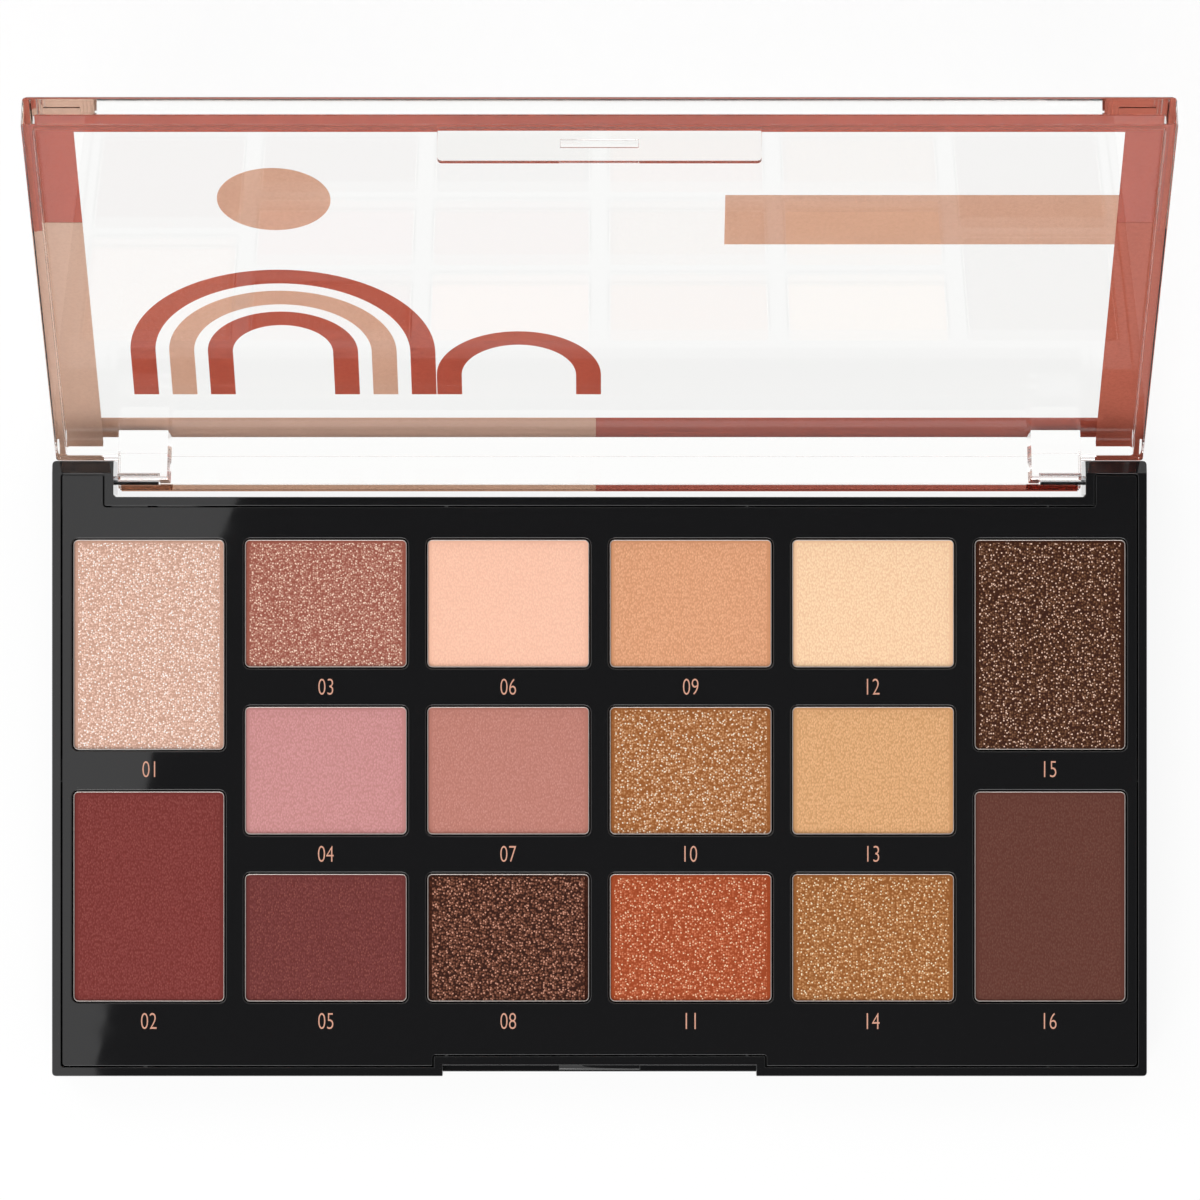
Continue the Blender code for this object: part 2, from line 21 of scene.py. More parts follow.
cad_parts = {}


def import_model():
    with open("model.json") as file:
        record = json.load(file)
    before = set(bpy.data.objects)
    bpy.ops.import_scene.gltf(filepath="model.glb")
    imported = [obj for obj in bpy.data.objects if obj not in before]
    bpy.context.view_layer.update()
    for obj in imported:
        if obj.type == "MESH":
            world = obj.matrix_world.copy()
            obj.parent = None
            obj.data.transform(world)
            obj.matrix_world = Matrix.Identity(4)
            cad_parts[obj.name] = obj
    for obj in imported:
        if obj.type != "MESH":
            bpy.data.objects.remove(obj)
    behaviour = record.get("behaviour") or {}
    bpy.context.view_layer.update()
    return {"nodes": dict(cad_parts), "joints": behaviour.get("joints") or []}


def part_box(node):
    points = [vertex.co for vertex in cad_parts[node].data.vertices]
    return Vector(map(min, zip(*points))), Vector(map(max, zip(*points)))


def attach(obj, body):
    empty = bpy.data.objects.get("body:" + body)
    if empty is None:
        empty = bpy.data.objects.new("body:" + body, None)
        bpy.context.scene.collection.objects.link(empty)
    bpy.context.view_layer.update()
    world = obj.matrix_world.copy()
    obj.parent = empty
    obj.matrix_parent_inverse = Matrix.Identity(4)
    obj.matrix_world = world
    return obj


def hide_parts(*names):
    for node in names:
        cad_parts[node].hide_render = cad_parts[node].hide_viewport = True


LOG = logging.getLogger("palette")
MM = 0.001

# Points closer than this are one point, and the finer distance is for cuts and small print
MERGE = 0.002 * MM
FINE_MERGE = MERGE / 10

# Faces that turn less than the first angle are one flat face, and edges past the second are sharp
FLAT_ANGLE = math.radians(1.0)
SHARP_ANGLE = math.radians(40.0)

# Faces narrower than this belong to a rounding
FLAT_WIDTH = 1.2 * MM

# How much of an edge runs along Z if it is upright, and of a normal if its face is level
UPRIGHT = 0.99
LEVEL = 0.9

Colour = tuple[float, float, float, float]
Pair = tuple[float, float]


def linear(hex_colour: str) -> Colour:
    """Turns an sRGB hex colour into linear values.

    Args:
        hex_colour: six hex digits.

    Returns:
        Red, green, blue and an alpha of 1.
    """
    channels = [int(hex_colour[i : i + 2], 16) / 255 for i in (0, 2, 4)]
    red, green, blue = (
        c / 12.92 if c <= 0.04045 else ((c + 0.055) / 1.055) ** 2.4 for c in channels
    )
    return red, green, blue, 1.0


def add_node(
    tree: NodeTree,
    kind: str,
    inputs: dict | None = None,
    stops: tuple[tuple[float, str], ...] = (),
    **settings: str,
) -> Node:
    """Adds a shader node with its settings, values and links.

    Args:
        tree: the node tree of a material or world.
        kind: the node's type without its ShaderNode prefix.
        inputs: a value or another node's output for each named or numbered socket.
        stops: the places on a colour ramp, in order, each with its hex colour.
        settings: the node's own properties.

    Returns:
        The new node.
    """
    node = tree.nodes.new(f"ShaderNode{kind}")
    for name, value in settings.items():
        setattr(node, name, value)
    for name, value in (inputs or {}).items():
        if isinstance(value, NodeSocket):
            tree.links.new(value, node.inputs[name])
        else:
            node.inputs[name].default_value = value
    if stops:
        ramp = node.color_ramp.elements
        ramp[0].position, ramp[1].position = stops[0][0], stops[-1][0]
        for position, _ in stops[1:-1]:
            ramp.new(position)
        for element, (_, colour) in zip(ramp, stops):
            element.color = linear(colour)
    return node


def empty_material(name: str) -> tuple[Material, NodeTree]:
    """Starts a material that has no nodes yet.

    Args:
        name: the material's name.

    Returns:
        The material and its node tree.
    """
    material = bpy.data.materials.new(name)
    material.use_nodes = True
    material.node_tree.nodes.clear()
    return material, material.node_tree


@dataclass(frozen=True)
class MouldedAbs:
    """ABS moulded against a polished tool: deep black, clear reflections, a trace of waviness."""

    colour: str = "1A1A1B"
    ior: float = 1.54
    roughness: Pair = (0.01, 0.03)
    wave: float = 7.0 * MM
    wave_height: float = 0.004 * MM
    haze: float = 2.2 * MM

    def material(self) -> Material:
        """Makes the black plastic of the tray and the pan plate.

        Returns:
            The material.
        """
        material, tree = empty_material("gloss black ABS")
        place = add_node(tree, "TexCoord").outputs["Object"]
        haze = add_node(tree, "TexNoise", {"Vector": place, "Scale": 1 / self.haze, "Detail": 4.0})
        low, high = self.roughness
        spread = {"Value": haze.outputs["Fac"], "To Min": low, "To Max": high}
        rough = add_node(tree, "MapRange", spread)
        wave = add_node(tree, "TexNoise", {"Vector": place, "Scale": 1 / self.wave, "Detail": 1.0})
        bump = add_node(tree, "Bump", {"Height": wave.outputs["Fac"], "Distance": self.wave_height})
        shader = add_node(
            tree,
            "BsdfPrincipled",
            {
                "Base Color": linear(self.colour),
                "Roughness": rough.outputs["Result"],
                "IOR": self.ior,
                "Normal": bump.outputs["Normal"],
            },
        )
        add_node(tree, "OutputMaterial", {"Surface": shader.outputs[0]})
        return material


@dataclass(frozen=True)
class ClearStyrene:
    """Clear SAN moulded against a polished tool: bends what is behind it, mirrors at its edges.

    The tint of its mirroring keeps the pans fainter in the window, and leaves the edges bright.
    """

    colour: str = "FDFDFC"
    ior: float = 1.57
    roughness: float = 0.008
    mirror: str = "646464"

    def material(self) -> Material:
        """Makes the clear plastic of the lid.

        Returns:
            The material.
        """
        material, tree = empty_material("clear SAN")
        shader = add_node(
            tree,
            "BsdfPrincipled",
            {
                "Base Color": linear(self.colour),
                "Roughness": self.roughness,
                "IOR": self.ior,
                "Specular Tint": linear(self.mirror),
                "Transmission Weight": 1.0,
            },
        )
        add_node(tree, "OutputMaterial", {"Surface": shader.outputs[0]})
        return material


@dataclass(frozen=True)
class ScreenInk:
    """Screen-printed ink: an even satin film with the faint mottle that the mesh leaves.

    The mottle is drawn coarse enough to show. The ink is opaque, or with clear at 1 a tint that
    light goes straight through.
    """

    name: str
    colour: str
    mottle_colour: str
    mottle: float = 0.45 * MM
    roughness: float = 0.6
    gloss: float = 0.12
    clear: float = 0.0
    ior: float = 1.5
    mottle_stops: Pair = (0.3, 0.6)

    def material(self) -> Material:
        """Makes one colour of print.

        Returns:
            The material.
        """
        material, tree = empty_material(self.name)
        place = add_node(tree, "TexCoord").outputs["Object"]
        grid = {"Vector": place, "Scale": 1 / self.mottle, "Detail": 3.0}
        mottle = add_node(tree, "TexNoise", grid)
        low, high = self.mottle_stops
        stops = ((low, self.mottle_colour), (high, self.colour))
        colour = add_node(tree, "ValToRGB", {"Fac": mottle.outputs["Fac"]}, stops)
        shader = add_node(
            tree,
            "BsdfPrincipled",
            {
                "Base Color": colour.outputs["Color"],
                "Roughness": self.roughness,
                "IOR": self.ior,
                "Specular IOR Level": self.gloss,
                "Transmission Weight": self.clear,
            },
        )
        add_node(tree, "OutputMaterial", {"Surface": shader.outputs[0]})
        return material


@dataclass(frozen=True)
class DrawnMetal:
    """Bare drawn metal: bright, with lines along the way it was pulled, coarse enough to show."""

    name: str
    colour: str
    roughness: Pair
    line: Vector
    line_height: float = 0.002 * MM

    def material(self) -> Material:
        """Makes the metal, with its lines stretched along the sizes given in line.

        Returns:
            The material.
        """
        material, tree = empty_material(self.name)
        place = add_node(tree, "TexCoord").outputs["Object"]
        scale = [1 / size for size in self.line]
        grid = add_node(tree, "Mapping", {"Vector": place, "Scale": scale}).outputs["Vector"]
        line = add_node(tree, "TexNoise", {"Vector": grid, "Scale": 1.0, "Detail": 3.0})
        low, high = self.roughness
        spread = {"Value": line.outputs["Fac"], "To Min": low, "To Max": high}
        rough = add_node(tree, "MapRange", spread)
        bump = add_node(tree, "Bump", {"Height": line.outputs["Fac"], "Distance": self.line_height})
        shader = add_node(
            tree,
            "BsdfPrincipled",
            {
                "Base Color": linear(self.colour),
                "Metallic": 1.0,
                "Roughness": rough.outputs["Result"],
                "Normal": bump.outputs["Normal"],
            },
        )
        add_node(tree, "OutputMaterial", {"Surface": shader.outputs[0]})
        return material


class Cake(Enum):
    """How a powder was made: plain pigment, or pigment with fine mica or coarse glitter."""

    MATTE = "matte"
    SHIMMER = "shimmer"
    GLITTER = "glitter"


@dataclass(frozen=True)
class Grain:
    """What shows of a powder's grains: their size, how few are bright, and how they shine.

    Plain pigment keeps the mark of the pressing cloth, so its grains are drawn out along the pan.
    With mica or glitter, painted flashes of light, bright dots in the base colour, lie about as far
    apart as the spacing of the flashes says.
    """

    flake: float
    stretch: float
    rarity: float
    metallic: float
    roughness: Pair
    relief: float
    painted_flash_spacing: float = 0.0


# The grains are drawn coarser than real ones, so that they show, and the spacing of the flashes
# places painted glints
GRAINS = {
    Cake.MATTE: Grain(
        flake=0.22 * MM,
        stretch=1.8,
        rarity=0.6,
        metallic=0.0,
        roughness=(0.95, 0.85),
        relief=0.01 * MM,
    ),
    Cake.SHIMMER: Grain(
        flake=0.29 * MM,
        stretch=1.0,
        rarity=1.0,
        metallic=0.12,
        roughness=(0.7, 0.4),
        relief=0.03 * MM,
        painted_flash_spacing=0.85 * MM,
    ),
    Cake.GLITTER: Grain(
        flake=0.33 * MM,
        stretch=1.0,
        rarity=1.4,
        metallic=0.15,
        roughness=(0.75, 0.35),
        relief=0.05 * MM,
        painted_flash_spacing=0.9 * MM,
    ),
}


@dataclass(frozen=True)
class PressedPowder:
    """Powder pressed into a pan: soft and dry, with the grain of its kind.

    Its colours go from the ground between the flakes to the brightest of the painted glints: the
    upper colours are partly the flakes' own paler colour and partly painted glints, and the flashes
    are painted glints, bright dots in the base colour. Flakes and flashes fade out between the
    outer and the inner distance from their middles that is given for each, for flakes as a share of
    their size.
    """

    name: str
    cake: Cake
    body: str
    middle: str
    bright: str
    top_fleck_and_painted_glint: str
    stops: Pair = (0.16, 0.72)
    flake_fade: Pair = (0.6, 0.15)
    painted_flash_fade: Pair = (0.16 * MM, 0.08 * MM)
    gloss: float = 0.2
    dust: float = 0.3 * MM
    dust_start: float = 0.45
    edge_roughness: float = 0.9

    def material(self) -> Material:
        """Makes the grained face of the cake.

        Returns:
            The material.
        """
        grain = GRAINS[self.cake]
        material, tree = empty_material(f"{self.name} powder")
        place = add_node(tree, "TexCoord").outputs["Object"]
        size = (1 / grain.flake, 1 / (grain.flake * grain.stretch), 1.0)
        grid = add_node(tree, "Mapping", {"Vector": place, "Scale": size}).outputs["Vector"]
        cell = add_node(tree, "TexVoronoi", {"Vector": grid, "Scale": 1.0}, voronoi_dimensions="2D")
        rim, near = self.flake_fade
        blob = add_node(
            tree,
            "MapRange",
            {"Value": cell.outputs["Distance"], "From Min": rim, "From Max": near},
            interpolation_type="SMOOTHSTEP",
        )
        chance = add_node(tree, "SeparateColor", {"Color": cell.outputs["Color"]}).outputs["Red"]
        picked = add_node(tree, "Math", {0: chance, 1: grain.rarity}, operation="POWER")
        both = {0: blob.outputs["Result"], 1: picked.outputs[0]}
        flake = add_node(tree, "Math", both, operation="MULTIPLY").outputs[0]
        # Painted glints: bright dots in the base colour where flakes would catch the light
        if grain.painted_flash_spacing:
            flake = self.with_painted_flashes(tree, place, flake, grain.painted_flash_spacing)
        # The last colour is the lightest fleck, and for shimmer and glitter also painted glints
        first, second = self.stops
        stops = ((0.0, self.body), (first, self.middle), (second, self.bright), (1.0, self.top_fleck_and_painted_glint))
        colour = add_node(tree, "ValToRGB", {"Fac": flake}, stops)
        dull, keen = grain.roughness
        rough = add_node(tree, "MapRange", {"Value": flake, "To Min": dull, "To Max": keen})
        bump = add_node(tree, "Bump", {"Height": flake, "Distance": grain.relief})
        looks = {
            "Base Color": colour.outputs["Color"],
            "Roughness": rough.outputs["Result"],
            "Specular IOR Level": self.gloss,
            "Normal": bump.outputs["Normal"],
        }
        if grain.metallic:
            shine = add_node(tree, "Math", {0: flake, 1: grain.metallic}, operation="MULTIPLY")
            looks["Metallic"] = shine.outputs[0]
        shader = add_node(tree, "BsdfPrincipled", looks)
        add_node(tree, "OutputMaterial", {"Surface": shader.outputs[0]})
        return material

    def with_painted_flashes(
        self, tree: NodeTree, place: NodeSocket, flake: NodeSocket, spacing: float
    ) -> NodeSocket:
        """Adds painted flashes: a few bright dots in the base colour, for flakes catching the
        light.

        Args:
            tree: the material's node tree.
            place: the coordinates.
            flake: the plain flakes.
            spacing: how far the flashes lie apart.

        Returns:
            The plain flakes and the painted flashes together.
        """
        grid = {"Vector": place, "Scale": 1 / spacing}
        far = add_node(tree, "TexVoronoi", grid, voronoi_dimensions="2D").outputs["Distance"]
        rim, near = (distance / spacing for distance in self.painted_flash_fade)
        painted_flash = add_node(tree, "MapRange", {"Value": far, "From Min": rim, "From Max": near})
        both = {0: flake, 1: painted_flash.outputs["Result"]}
        return add_node(tree, "Math", both, operation="MAXIMUM").outputs[0]

    def edge_material(self) -> Material:
        """Makes the plain edge at the back and sides of the cake, in its body and middle colours.

        Returns:
            The material.
        """
        material, tree = empty_material(f"{self.name} powder edge")
        place = add_node(tree, "TexCoord").outputs["Object"]
        dust = add_node(tree, "TexNoise", {"Vector": place, "Scale": 1 / self.dust, "Detail": 3.0})
        stops = ((self.dust_start, self.body), (1.0, self.middle))
        colour = add_node(tree, "ValToRGB", {"Fac": dust.outputs["Fac"]}, stops)
        shader = add_node(
            tree,
            "BsdfPrincipled",
            {
                "Base Color": colour.outputs["Color"],
                "Roughness": self.edge_roughness,
                "Specular IOR Level": self.gloss,
            },
        )
        add_node(tree, "OutputMaterial", {"Surface": shader.outputs[0]})
        return material


# Shades of the powders, column by column from the left, back to front. The last colour of each is
# its lightest fleck, and for shimmer and glitter also painted glints
SHADES = (
    PressedPowder("champagne", Cake.SHIMMER, "C69B87", "DDB3A0", "FBD8C6", "FFFFFF"),
    PressedPowder("deep red", Cake.MATTE, "74312D", "7E3936", "843F3C", "904B43"),
    PressedPowder("rose brown", Cake.SHIMMER, "975445", "AF7263", "CC9C87", "FFE0CC"),
    PressedPowder("pink mauve", Cake.MATTE, "C28784", "CB8F8E", "D19595", "D89C9C"),
    PressedPowder("burgundy", Cake.MATTE, "69312E", "713837", "7A3E3B", "905146"),
    PressedPowder("pale peach", Cake.MATTE, "F6C0A6", "FCC6AC", "FFCAB0", "FFD2B6"),
    PressedPowder("dusty rose", Cake.MATTE, "B87A6D", "BF8073", "C4867A", "CC9288"),
    PressedPowder("dark brown", Cake.GLITTER, "2C0C00", "663A28", "8C5A46", "DCA088"),
    PressedPowder("tan", Cake.MATTE, "D5976F", "E0A27C", "E7AA84", "F2BA90"),
    PressedPowder("gold bronze", Cake.GLITTER, "955829", "B67D4F", "D6A47C", "FFF6E4"),
    PressedPowder("copper orange", Cake.GLITTER, "9C431F", "B15530", "D4805C", "FFDCB8"),
    PressedPowder("pale cream", Cake.MATTE, "F4C8A1", "FCD4AC", "FFDBB3", "FFE2BE"),
    PressedPowder("sand", Cake.MATTE, "CF9B6A", "DDA978", "E5B181", "F0BC8E"),
    PressedPowder("bronze gold", Cake.GLITTER, "925727", "AC7444", "D29866", "FFF2D2"),
    PressedPowder("espresso", Cake.GLITTER, "351505", "533119", "886048", "FFDCC8"),
    PressedPowder("dark chocolate", Cake.MATTE, "60362D", "643B32", "684036", "6E463B"),
)


def box_bmesh(low: Vector, high: Vector) -> BMesh:
    """Makes a box between two corners.

    Args:
        low: its lowest corner.
        high: its highest corner.

    Returns:
        The box as a bmesh.
    """
    bm = bmesh.new()
    bmesh.ops.create_cube(bm, size=1.0)
    bmesh.ops.scale(bm, vec=high - low, verts=bm.verts)
    bmesh.ops.translate(bm, vec=(low + high) / 2, verts=bm.verts)
    return bm


def is_upright(edge: BMEdge) -> bool:
    """True for an edge along Z."""
    run = edge.verts[0].co - edge.verts[1].co
    return abs(run.z) > UPRIGHT * run.length


def round_edges(bm: BMesh, edges: list[BMEdge], radius: float, segments: int) -> None:
    """Rounds edges of a bmesh.

    Args:
        bm: the bmesh.
        edges: the edges to round.
        radius: the radius of the rounding.
        segments: how many faces each rounding gets.
    """
    bmesh.ops.bevel(
        bm, geom=edges, offset=radius, segments=segments, profile=0.5, affect="EDGES", material=-1
    )


def whole_copy(node: Object) -> BMesh:
    """Copies a solid with its loose triangles merged and its flat faces whole.

    The copy is in millimetres, because the tolerances of merging and rounding are coarse for such
    small parts in metres. round_corners brings it back to metres.

    Args:
        node: the solid's object.

    Returns:
        The copy as a bmesh in millimetres.
    """
    bm = bmesh.new()
    bm.from_mesh(node.data)
    bmesh.ops.scale(bm, vec=Vector((1, 1, 1)) / MM, verts=bm.verts)
    bmesh.ops.remove_doubles(bm, verts=bm.verts, dist=MERGE / MM)
    bmesh.ops.dissolve_limit(bm, angle_limit=FLAT_ANGLE, verts=bm.verts, edges=bm.edges)
    return bm


def round_corners(bm: BMesh, radius: float, segments: int) -> None:
    """Rounds every sharp outward edge of a whole copy, and scales it to metres.

    Args:
        bm: the copy in millimetres.
        radius: the radius of the rounding, in metres.
        segments: how many faces each rounding gets.
    """
    sharp = [edge for edge in bm.edges if edge.calc_face_angle_signed(0.0) > SHARP_ANGLE]
    round_edges(bm, sharp, radius / MM, segments)
    bmesh.ops.scale(bm, vec=Vector((1, 1, 1)) * MM, verts=bm.verts)


def is_narrow(face: BMFace) -> bool:
    """True for a face as narrow as the strips that make up a rounding."""
    return face.calc_area() < FLAT_WIDTH * max(edge.calc_length() for edge in face.edges)


def corner_normals(bm: BMesh) -> list[Vector]:
    """Works out shading that keeps flat faces flat and makes roundings run smoothly into them.

    Args:
        bm: the finished shape.

    Returns:
        A normal for each corner of each face, in the order of the mesh's loops.
    """
    bm.normal_update()
    narrow = {face: is_narrow(face) for face in bm.faces}
    normals = []
    for face in bm.faces:
        for vert in face.verts:
            if not narrow[face]:
                normals.append(face.normal.copy())
                continue
            near = [f for f in vert.link_faces if f.normal.angle(face.normal, 0.0) < SHARP_ANGLE]
            flats = [f for f in near if not narrow[f]]
            normals.append(sum((f.normal for f in flats or near), Vector()).normalized())
    return normals


def add_piece(
    bm: BMesh,
    name: str,
    materials: list[Material],
    body: str,
    replaces: tuple[str, ...] = (),
    smooth: bool = True,
) -> None:
    """Turns a bmesh into a piece that rides on a body.

    Args:
        bm: the shape, in place.
        name: the piece's name.
        materials: its materials, in the order of the faces' indices.
        body: the body that it rides on.
        replaces: the solids that it stands for.
        smooth: whether its roundings are shaded as round, which thin films don't need.
    """
    mesh = bpy.data.meshes.new(name)
    normals = corner_normals(bm) if smooth else []
    bm.to_mesh(mesh)
    bm.free()
    for material in materials:
        mesh.materials.append(material)
    if smooth:
        mesh.shade_smooth()
        mesh.normals_split_custom_set(normals)
    piece = bpy.data.objects.new(name, mesh)
    bpy.context.scene.collection.objects.link(piece)
    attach(piece, body)
    if replaces:
        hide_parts(*replaces)
    LOG.info("%s: %d faces on body %s", name, len(mesh.polygons), body)


@dataclass
class Base:
    """The tray shell and the pan plate that drops into it, with the edge radii of mouldings."""

    nodes: dict[str, Object]
    finish: MouldedAbs
    edge: float = 0.08 * MM
    edge_segments: int = 3
    well_edge: float = 0.12 * MM
    well_reach: float = 0.5 * MM
    well_segments: int = 4

    def build(self) -> None:
        """Builds both mouldings in the same black plastic."""
        black = self.finish.material()
        for name in ("tray_shell", "pan_plate"):
            bm = whole_copy(self.nodes[name])
            if name == "pan_plate":
                self.ease_wells(bm)
            round_corners(bm, self.edge, self.edge_segments)
            add_piece(bm, f"{name}_moulding", [black], "base", (name,))

    def ease_wells(self, bm: BMesh) -> None:
        """Rounds the top edge of each well of the plate, wider than the other edges.

        Args:
            bm: the plate in millimetres.
        """
        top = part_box("pan_plate")[1].z
        pans = [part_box(f"pan_{number:02d}") for number in range(1, len(SHADES) + 1)]
        reach = self.well_reach
        rims = []
        for edge in bm.edges:
            middle = (edge.verts[0].co + edge.verts[1].co) / 2 * MM
            near = any(
                all(low[i] - reach < middle[i] < high[i] + reach for i in (0, 1))
                for low, high in pans
            )
            level = all(v.co.z * MM > top - MERGE for v in edge.verts)
            if near and level and edge.calc_face_angle(0.0) > SHARP_ANGLE:
                rims.append(edge)
        round_edges(bm, rims, self.well_edge / MM, self.well_segments)


@dataclass
class PanSet:
    """The drawn pans and the powder cakes pressed into them."""

    metal: DrawnMetal
    pan_wall: float = 0.14 * MM
    lip_cover: float = 0.2 * MM
    pan_corner: float = 0.7 * MM
    foot_round: float = 0.4 * MM
    rim_round: float = 0.05 * MM
    cake_corner: float = 0.35 * MM
    edge_band: float = 0.5 * MM
    back_band: float = 0.3 * MM
    edge_drop: float = 0.09 * MM
    cell: float = 1.1 * MM
    unevenness: float = 0.02 * MM
    swell: float = 6.0 * MM
    corner_segments: int = 6
    rim_segments: int = 3

    def build(self) -> None:
        """Builds each pan with its cake."""
        bright = self.metal.material()
        for number, shade in enumerate(SHADES, start=1):
            pan, powder = f"pan_{number:02d}", f"powder_{number:02d}"
            add_piece(self.pan(*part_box(pan)), f"{pan}_drawn", [bright], "base", (pan,))
            looks = [shade.material(), shade.edge_material()]
            low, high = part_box(powder)
            spread = Vector((self.lip_cover, self.lip_cover, 0))
            cake = self.cake(low - spread, high + spread)
            add_piece(cake, f"{powder}_cake", looks, "base", (powder,))

    def pan(self, low: Vector, high: Vector) -> BMesh:
        """Shapes a drawn pan with a rounded foot and lip.

        Args:
            low: the lowest corner of the solid pan.
            high: its highest corner.

        Returns:
            The pan as a bmesh.
        """
        bm = box_bmesh(low, high)
        corners = [e for e in bm.edges if is_upright(e)]
        round_edges(bm, corners, self.pan_corner, self.corner_segments)
        foot = [e for e in bm.edges if all(v.co.z < low.z + MERGE for v in e.verts)]
        round_edges(bm, foot, self.foot_round, self.rim_segments)
        upward = [f for f in bm.faces if f.normal.z > LEVEL]
        top = [f for f in upward if f.calc_center_median().z > high.z - MERGE]
        bmesh.ops.delete(bm, geom=top, context="FACES_ONLY")
        bmesh.ops.solidify(bm, geom=bm.faces[:], thickness=self.pan_wall)
        bmesh.ops.recalc_face_normals(bm, faces=bm.faces)
        sharp = [e for e in bm.edges if e.calc_face_angle(0.0) > SHARP_ANGLE]
        lip = [e for e in sharp if all(v.co.z > high.z - MERGE for v in e.verts)]
        round_edges(bm, lip, self.rim_round, self.rim_segments)
        return bm

    def cake(self, low: Vector, high: Vector) -> BMesh:
        """Shapes a cake of powder: an uneven pressed face with plain edges at its back and sides.

        Args:
            low: the lowest corner of the solid cake.
            high: its highest corner.

        Returns:
            The cake as a bmesh, with material index 1 on its edge.
        """
        bm = box_bmesh(low, high)
        corners = [e for e in bm.edges if is_upright(e)]
        round_edges(bm, corners, self.cake_corner, self.corner_segments)
        for x in (low.x + self.edge_band, high.x - self.edge_band):
            self.cut(bm, Vector((x, 0, 0)), Vector((1, 0, 0)))
        self.cut(bm, Vector((0, high.y - self.back_band, 0)), Vector((0, 1, 0)))
        face_low = Vector((low.x + self.edge_band, low.y, 0))
        face_high = Vector((high.x - self.edge_band, high.y - self.back_band, 0))
        for axis, size in ((0, face_high.x - face_low.x), (1, face_high.y - face_low.y)):
            count = round(size / self.cell)
            normal = Vector((axis == 0, axis == 1, 0))
            for i in range(1, count):
                self.cut(bm, face_low + normal * size * i / count, normal)
        for face in bm.faces:
            middle = face.calc_center_median()
            inside = face_low.x < middle.x < face_high.x and middle.y < face_high.y
            face.material_index = 0 if inside and face.normal.z > LEVEL else 1
        for vert in bm.verts:
            if vert.co.z > high.z - MERGE:
                rim = vert.co.x < face_low.x - MERGE or vert.co.x > face_high.x + MERGE
                rim = rim or vert.co.y > face_high.y + MERGE
                dip = self.unevenness * (1 + noise.noise(vert.co / self.swell))
                vert.co.z -= self.edge_drop if rim else dip
        return bm

    @staticmethod
    def cut(bm: BMesh, point: Vector, normal: Vector) -> None:
        """Cuts every face of a bmesh along a plane, and keeps both sides."""
        whole = bm.verts[:] + bm.edges[:] + bm.faces[:]
        bmesh.ops.bisect_plane(bm, geom=whole, plane_co=point, plane_no=normal, dist=FINE_MERGE)


@dataclass
class ShadeNumbers:
    """Plain numbers printed on the pan plate, one in front of each pan."""

    ink: ScreenInk
    height: float = 2.2 * MM
    narrowing: float = 0.72
    film: float = 0.02 * MM
    drop: float = 2.65 * MM
    thinning: float = 0.012
    curve_steps: int = 4

    def build(self) -> None:
        """Builds all numbers as one print."""
        plate_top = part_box("pan_plate")[1].z
        bm = bmesh.new()
        for number in range(1, len(SHADES) + 1):
            low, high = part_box(f"pan_{number:02d}")
            mesh = self.figure(f"{number:02d}")
            xs = [v.co.x for v in mesh.vertices]
            ys = [v.co.y for v in mesh.vertices]
            scale = self.height / (max(ys) - min(ys))
            centre = Vector(((min(xs) + max(xs)) / 2, (min(ys) + max(ys)) / 2, 0))
            target = Vector(((low.x + high.x) / 2, low.y - self.drop, plate_top + self.film / 2))
            size = Matrix.Diagonal((scale * self.narrowing, scale, 1.0, 1.0))
            mesh.transform(Matrix.Translation(target) @ size @ Matrix.Translation(-centre))
            bm.from_mesh(mesh)
            bpy.data.meshes.remove(mesh)
        bmesh.ops.remove_doubles(bm, verts=bm.verts, dist=FINE_MERGE)
        add_piece(bm, "shade_numbers", [self.ink.material()], "base", smooth=False)

    def figure(self, words: str) -> Mesh:
        """Makes the mesh of a number, as thick as the film and about one unit high.

        Args:
            words: the digits.

        Returns:
            The mesh.
        """
        curve = bpy.data.curves.new("figure", "FONT")
        curve.body = words
        curve.resolution_u = self.curve_steps
        curve.offset = -self.thinning
        curve.extrude = self.film / 2
        holder = bpy.data.objects.new("figure", curve)
        bpy.context.scene.collection.objects.link(holder)
        bpy.context.view_layer.update()
        shaped = holder.evaluated_get(bpy.context.evaluated_depsgraph_get())
        mesh = bpy.data.meshes.new_from_object(shaped)
        bpy.data.objects.remove(holder)
        bpy.data.curves.remove(curve)
        return mesh


@dataclass
class HingePins:
    """The two wire pins that the lid turns on."""

    metal: DrawnMetal
    segments: int = 48
    end_round: float = 0.15 * MM
    end_segments: int = 3

    def build(self) -> None:
        """Builds a pin in the place of each solid pin."""
        steel = self.metal.material()
        for side in ("left", "right"):
            node = f"hinge_pin_{side}"
            low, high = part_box(node)
            radius = (high.z - low.z) / 2
            bm = bmesh.new()
            bmesh.ops.create_cone(
                bm,
                cap_ends=True,
                segments=self.segments,
                radius1=radius,
                radius2=radius,
                depth=high.x - low.x,
            )
            rims = [e for e in bm.edges if not is_upright(e)]
            round_edges(bm, rims, self.end_round, self.end_segments)
            place = Matrix.Translation((low + high) / 2) @ Matrix.Rotation(math.pi / 2, 4, "Y")
            bmesh.ops.transform(bm, matrix=place, verts=bm.verts)
            add_piece(bm, f"{node}_wire", [steel], "base", (node,))


@dataclass(frozen=True)
class PrintColour:
    """One colour of the lid's print: proud, a sunk copy painted lighter, a tint painting its image.
    """

    name: str
    proud: ScreenInk
    sunk: ScreenInk
    tint: ScreenInk


@dataclass(frozen=True)
class Arch:
    """An arch of the motif: the centre of its round, its radius, and how long its legs are."""

    x: float
    y: float
    radius: float
    leg: float


